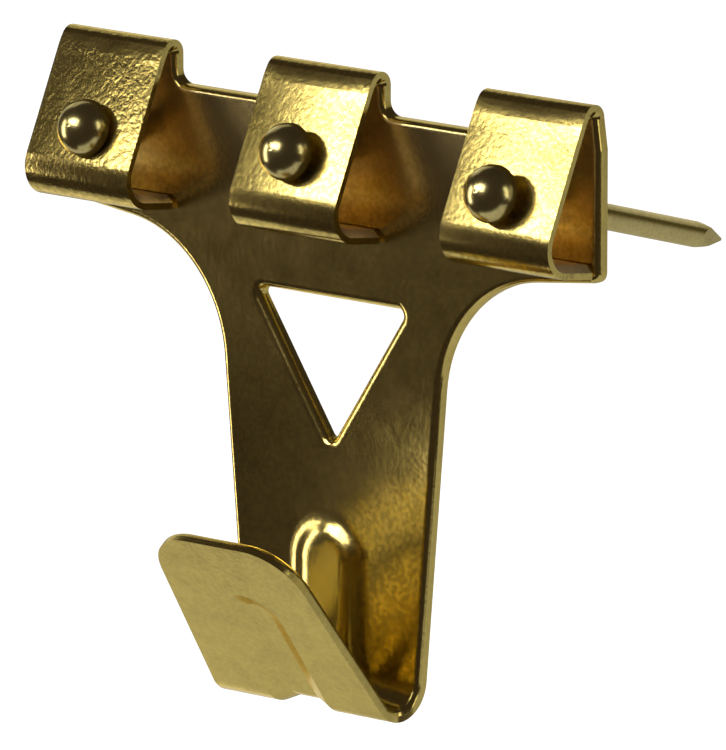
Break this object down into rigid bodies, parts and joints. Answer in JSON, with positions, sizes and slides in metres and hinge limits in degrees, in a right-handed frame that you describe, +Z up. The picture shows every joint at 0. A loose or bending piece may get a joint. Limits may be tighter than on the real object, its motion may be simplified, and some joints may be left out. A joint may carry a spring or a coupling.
{
  "type": "picture hanger",
  "caption": "Brass-plated picture hanger: folded sheet with guide tabs, round-headed nails, a cut-out and a ribbed J-hook.",
  "frame": {"origin": "on the sheet's back face and centre line, level with the places where the outer nails' axes cross it", "axes": "+X along the bar to the viewer's right, +Y into the wall, +Z up the wall"},
  "size_m": [0.047, 0.0326, 0.0443],
  "materials": {
    "plated_sheet": "polished brass plating on a steel stamping, a little mottled",
    "plated_nail": "polished brass plating on steel wire"
  },
  "bodies": {
    "hanger": {"hanger_body": "plated_sheet"},
    "nail_left_body": {"nail_left": "plated_nail"},
    "nail_middle_body": {"nail_middle": "plated_nail"},
    "nail_right_body": {"nail_right": "plated_nail"}
  },
  "joints": [
    {"name": "nail_left_slide", "type": "slide", "parent": "hanger", "child": "nail_left_body", "axis": [0, -0.9627, 0.2706], "range_m": [0, 0.017]},
    {"name": "nail_middle_slide", "type": "slide", "parent": "hanger", "child": "nail_middle_body", "axis": [0, -0.9627, 0.2706], "range_m": [-0.0004, 0.0166]},
    {"name": "nail_right_slide", "type": "slide", "parent": "hanger", "child": "nail_right_body", "axis": [0, -0.9627, 0.2706], "range_m": [-0.0006, 0.0164]}
  ]
}
